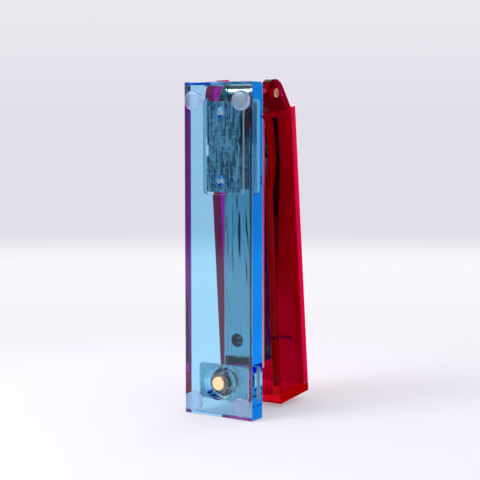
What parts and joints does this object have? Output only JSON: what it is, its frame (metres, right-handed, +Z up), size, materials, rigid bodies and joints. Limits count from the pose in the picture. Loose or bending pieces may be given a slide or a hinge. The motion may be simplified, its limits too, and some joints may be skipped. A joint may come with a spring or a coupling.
{
  "type": "desk stapler",
  "caption": "Clear acrylic desk stapler with a blue slab base, a red box handle, a hinged steel magazine, a sprung staple pusher and a turning anvil set by a push button.",
  "frame": {"origin": "centre of the overall box at the level of the feet", "axes": "+X towards the hinge end, +Z up, the front end points to -X"},
  "size_m": [0.1516, 0.036, 0.0582],
  "materials": {
    "blue_acrylic": "polished clear sheet",
    "red_acrylic": "polished clear sheet",
    "clear_bumper": "milky soft bumper",
    "bracket_steel": "zinc plated sheet",
    "screw_steel": "zinc plated",
    "gold_plate": "gold plated, satin",
    "chrome_sleeve": "polished",
    "spacer_nylon": "moulded",
    "spring_steel": "drawn wire and strip",
    "anvil_steel": "nickel plated",
    "magazine_steel": "nickel plated sheet",
    "rail_steel": "bright steel",
    "staple_wire": "galvanised wire",
    "pusher_plastic": "moulded"
  },
  "bodies": {
    "base": {"base_slab": "blue_acrylic", "rubber_feet": "clear_bumper", "hinge_bracket": "bracket_steel", "bracket_screws": "screw_steel", "hinge_pin": "gold_plate", "hinge_sleeve": "chrome_sleeve", "hinge_spacer": "spacer_nylon", "return_spring": "spring_steel", "anvil_spring": "spring_steel"},
    "anvil": {"anvil_plate": "anvil_steel", "anvil_button": "gold_plate", "anvil_clip": "spring_steel"},
    "magazine": {"magazine_channel": "magazine_steel", "nose_plate": "magazine_steel", "staple_rail": "rail_steel", "staple_strip": "staple_wire", "pusher_rod": "rail_steel", "pusher_spring": "spring_steel"},
    "pusher": {"pusher": "pusher_plastic"},
    "handle": {"handle_left_wall": "red_acrylic", "handle_right_wall": "red_acrylic", "handle_top_plate": "red_acrylic", "handle_front_wall": "red_acrylic", "driver_leaf": "spring_steel", "leaf_screws": "screw_steel", "driver_blade": "rail_steel", "cross_pin": "rail_steel"}
  },
  "joints": [
    {"name": "magazine_hinge", "type": "hinge", "parent": "base", "child": "magazine", "pos_m": [0.0695, 0, 0.0271], "axis": [0, 1, 0], "range_deg": [-3.8, 0], "stiffness_Nm_per_rad": 1.2, "springref_deg": 14.32},
    {"name": "handle_hinge", "type": "hinge", "parent": "magazine", "child": "handle", "pos_m": [0.0695, 0, 0.0271], "axis": [0, 1, 0], "range_deg": [-3.8, 80], "stiffness_Nm_per_rad": 0.8, "springref_deg": 3.15},
    {"name": "pusher_slide", "type": "slide", "parent": "magazine", "child": "pusher", "axis": [1, 0, 0], "range_m": [0, 0.022], "stiffness_N_per_m": 30, "springref_m": -0.03, "deforming": ["pusher_spring"]},
    {"name": "anvil_lift", "type": "slide", "parent": "base", "child": "anvil", "axis": [0, 0, 1], "range_m": [0, 0.0018], "stiffness_N_per_m": 400, "springref_m": -0.002, "deforming": ["anvil_spring"]}
  ]
}
